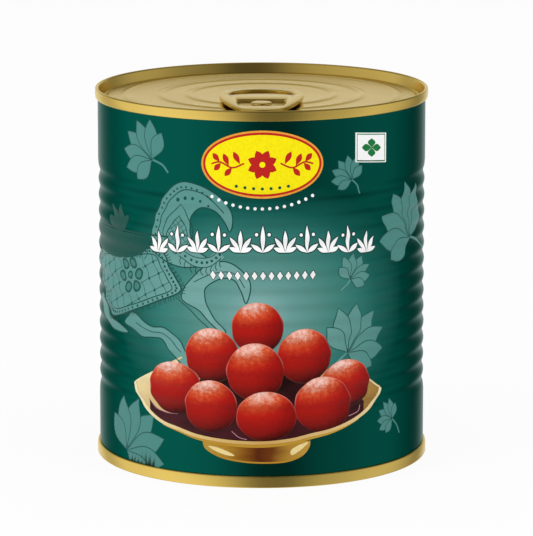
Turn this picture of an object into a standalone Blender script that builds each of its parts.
"""A shut ring-pull food can, standing on its bottom seam: 103 mm across the seams, 115 mm tall.

The frame has its origin at the centre of the bottom seam's underside, +Z up, and the ring-pull tab
reaches from the middle of the lid towards -Y, which is the front. Lengths are in metres. The can is
full and shut, so its wall and contents are one solid, with a separate end seamed on at each side.
"""

import math

import bmesh
import bpy

# Driving dimensions
CAN_HEIGHT = 0.1152
SEAM_RADIUS = 0.0515
WALL_RADIUS = 0.0507
TOP_SEAM_HEIGHT = 0.0032
BOTTOM_SEAM_HEIGHT = 0.0037
CLEARANCE = 0.0003

# Beads rolled into the wall: a wave between two plain bands
BEAD_COUNT = 14
BEAD_PITCH = 0.00505
BEAD_DEPTH = 0.0005
BEAD_CREST_INSET = 0.0001
FIRST_VALLEY_Z = 0.0237

# Ends: the seam rolls over into a chuck wall, a narrow countersink and a shallow panel
SEAM_ROUNDING = 0.0003
CREST_INNER_RADIUS = 0.0503
CHUCK_FOOT_RADIUS = 0.0496
COUNTERSINK_RADIUS = 0.0485
PANEL_RADIUS = 0.0475
CHUCK_THICKNESS = 0.00035
PANEL_DROP = 0.0026
COUNTERSINK_DROP = 0.0040
SLAB_DROP = 0.0046
BOTTOM_PANEL_DROP = 0.0030

# Ring beads on the panels: the radius of each one, its height and half its width
LID_BEAD_RADII = (0.0420, 0.0310, 0.0225)
BOTTOM_BEAD_RADII = (0.0380,)
LID_BEAD_HEIGHT = 0.0003
LID_BEAD_HALF_WIDTH = 0.0009

# Pocket pressed into the lid under the tab's nose
POCKET_HALF_WIDTH = 0.0122
POCKET_BACK_Y = -0.0215
POCKET_FRONT_Y = -0.0445
POCKET_CORNER_RADIUS = 0.0060
POCKET_DEPTH = 0.0007

# Ring-pull tab, along -Y from the middle of the lid
TAB_BACK_Y = 0.0018
TAB_WIDEST_Y = -0.0140
TAB_SHOULDER_Y = -0.0270
TAB_NOSE_Y = -0.0412
TAB_FRONT_Y = -0.0436
TAB_HALF_WIDTH = 0.0127
TAB_SHOULDER_HALF_WIDTH = 0.0104
TAB_NOSE_HALF_WIDTH = 0.0058
TAB_BACK_BEND_HALF_WIDTH = 0.0110
TAB_BACK_BEND_Y = -0.0039
TAB_TOP_DROP = 0.0008
TAB_THICKNESS = 0.0014
TAB_EDGE_ROUNDING = 0.0003
HOLE_BACK_Y = -0.0026
HOLE_FRONT_Y = -0.0106
HOLE_END_Y = -0.0130
HOLE_HALF_WIDTH = 0.0101
HOLE_BACK_BEND_HALF_WIDTH = 0.0083
HOLE_BACK_BEND_Y = -0.0063
HOLE_FRONT_BEND_HALF_WIDTH = 0.0061
WINDOW_BACK_Y = -0.0220
WINDOW_FRONT_Y = -0.0352
WINDOW_BACK_HALF_WIDTH = 0.0074
WINDOW_FRONT_HALF_WIDTH = 0.0060
WINDOW_CORNER_RADIUS = 0.0018
WINDOW_DEPTH = 0.0009
RIVET_Y = -0.0286
RIVET_RADIUS = 0.0032
RIVET_DOME_INSET = 0.0006
RIVET_RISE = 0.0001

# Mesh fineness
TURN_SEGMENTS = 56
CORNER_SEGMENTS = 4
TAB_CURVE_STEPS = 6
HOLE_CURVE_STEPS = 5
MERGE = 0.00001

GREEN_ENAMEL = ((0.002, 0.082, 0.068), 0.35, 0.0)
GOLD_LACQUER = ((0.45, 0.33, 0.14), 0.30, 1.0)
COLLECTION_NAME = "ring_pull_can"


def clear_scene():
    for old in list(bpy.data.objects):
        bpy.data.objects.remove(old, do_unlink=True)


def new_collection(name):
    collection = bpy.data.collections.new(name)
    bpy.context.scene.collection.children.link(collection)
    return collection


def new_material(name, finish):
    colour, roughness, metallic = finish
    material = bpy.data.materials.new(name)
    material.use_nodes = True
    shader = material.node_tree.nodes["Principled BSDF"]
    shader.inputs["Base Color"].default_value = (*colour, 1.0)
    shader.inputs["Roughness"].default_value = roughness
    shader.inputs["Metallic"].default_value = metallic
    return material


def link(mesh, name, collection, finish=None):
    mesh.name = name
    obj = bpy.data.objects.new(name, mesh)
    collection.objects.link(obj)
    if finish:
        mesh.materials.append(new_material(name, finish))
    return obj


def turned(name, profile, collection, finish):
    """A solid turned about Z from (radius, z) points that run from the axis out and back to it."""
    mesh = bpy.data.meshes.new(name)
    points = [(radius, 0.0, z) for radius, z in profile]
    edges = [(index, index + 1) for index in range(len(points) - 1)]
    mesh.from_pydata(points, edges, [])
    obj = link(mesh, name, collection, finish)
    screw = obj.modifiers.new("turn", "SCREW")
    screw.axis = "Z"
    screw.steps = TURN_SEGMENTS
    screw.render_steps = TURN_SEGMENTS
    screw.use_merge_vertices = True
    screw.merge_threshold = MERGE
    screw.use_smooth_shade = True
    return obj


def rounded_corner(corner_radius, corner_z, radial_side, vertical_side, rounding, outward_first):
    """Three points that round a profile's corner; the sides say which way the material lies."""
    on_flat = (corner_radius + radial_side * rounding, corner_z)
    on_wall = (corner_radius, corner_z + vertical_side * rounding)
    cut = rounding * (1.0 - math.sqrt(0.5))
    between = (corner_radius + radial_side * cut, corner_z + vertical_side * cut)
    points = [on_flat, between, on_wall]
    return points if outward_first else points[::-1]


def ring_bead(radius, z, height):
    """A low rib across a panel, listed from the inside out."""
    return [
        (radius - LID_BEAD_HALF_WIDTH, z),
        (radius, z + height),
        (radius + LID_BEAD_HALF_WIDTH, z),
    ]


def wall_profile(top_z, bottom_z):
    """The can's outer side from top to bottom: a plain band, the rolled beads and a plain band."""
    crest = WALL_RADIUS - BEAD_CREST_INSET
    valley = crest - BEAD_DEPTH
    last_valley_z = FIRST_VALLEY_Z + (BEAD_COUNT - 1) * BEAD_PITCH
    points = [(WALL_RADIUS, top_z), (WALL_RADIUS, last_valley_z + BEAD_PITCH / 2)]
    for index in reversed(range(BEAD_COUNT)):
        valley_z = FIRST_VALLEY_Z + index * BEAD_PITCH
        points.append((valley, valley_z))
        if index:
            points.append((crest, valley_z - BEAD_PITCH / 2))
    points += [(WALL_RADIUS, FIRST_VALLEY_Z - BEAD_PITCH / 2), (WALL_RADIUS, bottom_z)]
    return points


def make_can_body(collection):
    """The wall with the contents behind it, full to both ends; a thin rim reaches into each seam."""
    rim_radius = CHUCK_FOOT_RADIUS + CHUCK_THICKNESS + CLEARANCE
    core_top = CAN_HEIGHT - SLAB_DROP - CLEARANCE
    core_bottom = SLAB_DROP + CLEARANCE
    rim_top = CAN_HEIGHT - TOP_SEAM_HEIGHT - CLEARANCE
    rim_bottom = BOTTOM_SEAM_HEIGHT + CLEARANCE
    profile = [(0.0, core_top), (rim_radius, core_top), (rim_radius, rim_top)]
    profile += wall_profile(rim_top, rim_bottom)
    profile += [(rim_radius, rim_bottom), (rim_radius, core_bottom), (0.0, core_bottom)]
    return turned("can_body", profile, collection, GREEN_ENAMEL)


def end_profile(panel_drop, seam_height, bead_radii):
    """One end, outer face up at z = 0: panel, countersink, chuck wall and seam, then the inner face."""
    points = [(0.0, -panel_drop)]
    for radius in sorted(bead_radii):
        points += ring_bead(radius, -panel_drop, LID_BEAD_HEIGHT)
    points += [
        (PANEL_RADIUS, -panel_drop),
        (COUNTERSINK_RADIUS, -COUNTERSINK_DROP),
        (CHUCK_FOOT_RADIUS - CHUCK_THICKNESS, -COUNTERSINK_DROP),
        (CHUCK_FOOT_RADIUS, -panel_drop),
    ]
    points += rounded_corner(CREST_INNER_RADIUS, 0.0, 1, -1, SEAM_ROUNDING, False)
    points += rounded_corner(SEAM_RADIUS, 0.0, -1, -1, SEAM_ROUNDING, True)
    points += rounded_corner(SEAM_RADIUS, -seam_height, -1, 1, SEAM_ROUNDING, False)
    skirt_radius = CHUCK_FOOT_RADIUS + CHUCK_THICKNESS
    points += [(skirt_radius, -seam_height), (skirt_radius, -SLAB_DROP), (0.0, -SLAB_DROP)]
    return points


def make_top_end(collection, cutters):
    profile = [
        (radius, CAN_HEIGHT + z)
        for radius, z in end_profile(PANEL_DROP, TOP_SEAM_HEIGHT, LID_BEAD_RADII)
    ]
    end = turned("top_end", profile, collection, GOLD_LACQUER)
    panel_z = CAN_HEIGHT - PANEL_DROP
    corners = [
        (-POCKET_HALF_WIDTH, POCKET_BACK_Y),
        (-POCKET_HALF_WIDTH, POCKET_FRONT_Y),
        (POCKET_HALF_WIDTH, POCKET_FRONT_Y),
        (POCKET_HALF_WIDTH, POCKET_BACK_Y),
    ]
    pocket = rounded_prism(
        "pocket_cutter", corners, POCKET_CORNER_RADIUS, panel_z - POCKET_DEPTH, CAN_HEIGHT, cutters
    )
    cut(end, pocket)
    return end


def make_bottom_end(collection):
    """The same section upside down, so its list runs backwards to keep the faces pointing out."""
    section = end_profile(BOTTOM_PANEL_DROP, BOTTOM_SEAM_HEIGHT, BOTTOM_BEAD_RADII)
    profile = [(radius, -z) for radius, z in reversed(section)]
    return turned("bottom_end", profile, collection, GOLD_LACQUER)


def rounded_prism(name, corners, corner_radius, low_z, high_z, collection):
    """An upright prism on an outline of corners, each rounded, hidden because it only cuts."""
    shape = bmesh.new()
    outline = [shape.verts.new((x, y, low_z)) for x, y in corners]
    shape.faces.new(outline)
    bmesh.ops.bevel(
        shape,
        geom=shape.verts[:],
        affect="VERTICES",
        offset=corner_radius,
        offset_type="OFFSET",
        segments=CORNER_SEGMENTS,
        profile=0.5,
    )
    grown = bmesh.ops.extrude_face_region(shape, geom=shape.faces[:])
    lifted = [item for item in grown["geom"] if isinstance(item, bmesh.types.BMVert)]
    bmesh.ops.translate(shape, verts=lifted, vec=(0.0, 0.0, high_z - low_z))
    bmesh.ops.recalc_face_normals(shape, faces=shape.faces[:])
    mesh = bpy.data.meshes.new(name)
    shape.to_mesh(mesh)
    shape.free()
    obj = link(mesh, name, collection)
    obj.hide_render = True
    obj.display_type = "WIRE"
    return obj


def cut(obj, cutter):
    boolean = obj.modifiers.new(cutter.name, "BOOLEAN")
    boolean.operation = "DIFFERENCE"
    boolean.solver = "EXACT"
    boolean.object = cutter


def smooth_outline(curve, half_outline, resolution):
    """Adds a closed spline, given the points of its +X half from back to front, ends on the axis."""
    mirrored = [(-x, y) for x, y in reversed(half_outline[1:-1])]
    outline = list(half_outline) + mirrored
    spline = curve.splines.new("BEZIER")
    spline.bezier_points.add(len(outline) - 1)
    spline.use_cyclic_u = True
    spline.resolution_u = resolution
    for point, (x, y) in zip(spline.bezier_points, outline):
        point.co = (x, y, 0.0)
        point.handle_left_type = "AUTO"
        point.handle_right_type = "AUTO"


def make_pull_tab(collection, cutters):
    """A flat stirrup with a crescent finger hole and a sunk window round the rivet."""
    top_z = CAN_HEIGHT - TAB_TOP_DROP
    curve = bpy.data.curves.new("pull_tab_outline", "CURVE")
    curve.dimensions = "2D"
    curve.fill_mode = "BOTH"
    curve.extrude = TAB_THICKNESS / 2
    ring = [
        (0.0, TAB_BACK_Y),
        (TAB_BACK_BEND_HALF_WIDTH, TAB_BACK_BEND_Y),
        (TAB_HALF_WIDTH, TAB_WIDEST_Y),
        (TAB_SHOULDER_HALF_WIDTH, TAB_SHOULDER_Y),
        (TAB_NOSE_HALF_WIDTH, TAB_NOSE_Y),
        (0.0, TAB_FRONT_Y),
    ]
    hole = [
        (0.0, HOLE_BACK_Y),
        (HOLE_BACK_BEND_HALF_WIDTH, HOLE_BACK_BEND_Y),
        (HOLE_HALF_WIDTH, HOLE_END_Y),
        (HOLE_FRONT_BEND_HALF_WIDTH, (HOLE_END_Y + HOLE_FRONT_Y) / 2),
        (0.0, HOLE_FRONT_Y),
    ]
    smooth_outline(curve, ring, TAB_CURVE_STEPS)
    smooth_outline(curve, hole, HOLE_CURVE_STEPS)
    flat = bpy.data.objects.new("pull_tab_outline", curve)
    flat.location.z = top_z - TAB_THICKNESS / 2
    collection.objects.link(flat)
    bpy.context.view_layer.update()
    graph = bpy.context.evaluated_depsgraph_get()
    mesh = bpy.data.meshes.new_from_object(flat.evaluated_get(graph))
    place = flat.matrix_world.copy()
    bpy.data.objects.remove(flat, do_unlink=True)

    shape = bmesh.new()
    shape.from_mesh(mesh)
    bmesh.ops.remove_doubles(shape, verts=shape.verts[:], dist=MERGE)
    bmesh.ops.recalc_face_normals(shape, faces=shape.faces[:])
    shape.to_mesh(mesh)
    shape.free()
    tab = link(mesh, "pull_tab", collection, GOLD_LACQUER)
    tab.matrix_world = place

    bevel = tab.modifiers.new("edges", "BEVEL")
    bevel.width = TAB_EDGE_ROUNDING
    bevel.segments = 1
    bevel.limit_method = "ANGLE"

    window = rounded_prism(
        "window_cutter",
        [
            (-WINDOW_BACK_HALF_WIDTH, WINDOW_BACK_Y),
            (-WINDOW_FRONT_HALF_WIDTH, WINDOW_FRONT_Y),
            (WINDOW_FRONT_HALF_WIDTH, WINDOW_FRONT_Y),
            (WINDOW_BACK_HALF_WIDTH, WINDOW_BACK_Y),
        ],
        WINDOW_CORNER_RADIUS,
        top_z - WINDOW_DEPTH,
        CAN_HEIGHT,
        cutters,
    )
    cut(tab, window)
    return tab


def make_tab_rivet(collection):
    """The low button that pins the tab, standing just clear of the window's floor."""
    low = CAN_HEIGHT - TAB_TOP_DROP - WINDOW_DEPTH + CLEARANCE
    high = CAN_HEIGHT - TAB_TOP_DROP + RIVET_RISE
    profile = [
        (0.0, high),
        (RIVET_RADIUS - RIVET_DOME_INSET, high),
        (RIVET_RADIUS, (low + high) / 2),
        (RIVET_RADIUS, low),
        (0.0, low),
    ]
    rivet = turned("tab_rivet", profile, collection, GOLD_LACQUER)
    rivet.location.y = RIVET_Y
    return rivet


def main():
    clear_scene()
    parts = new_collection(COLLECTION_NAME)
    cutters = new_collection("cutters")
    make_can_body(parts)
    make_top_end(parts, cutters)
    make_bottom_end(parts)
    make_pull_tab(parts, cutters)
    make_tab_rivet(parts)


main()
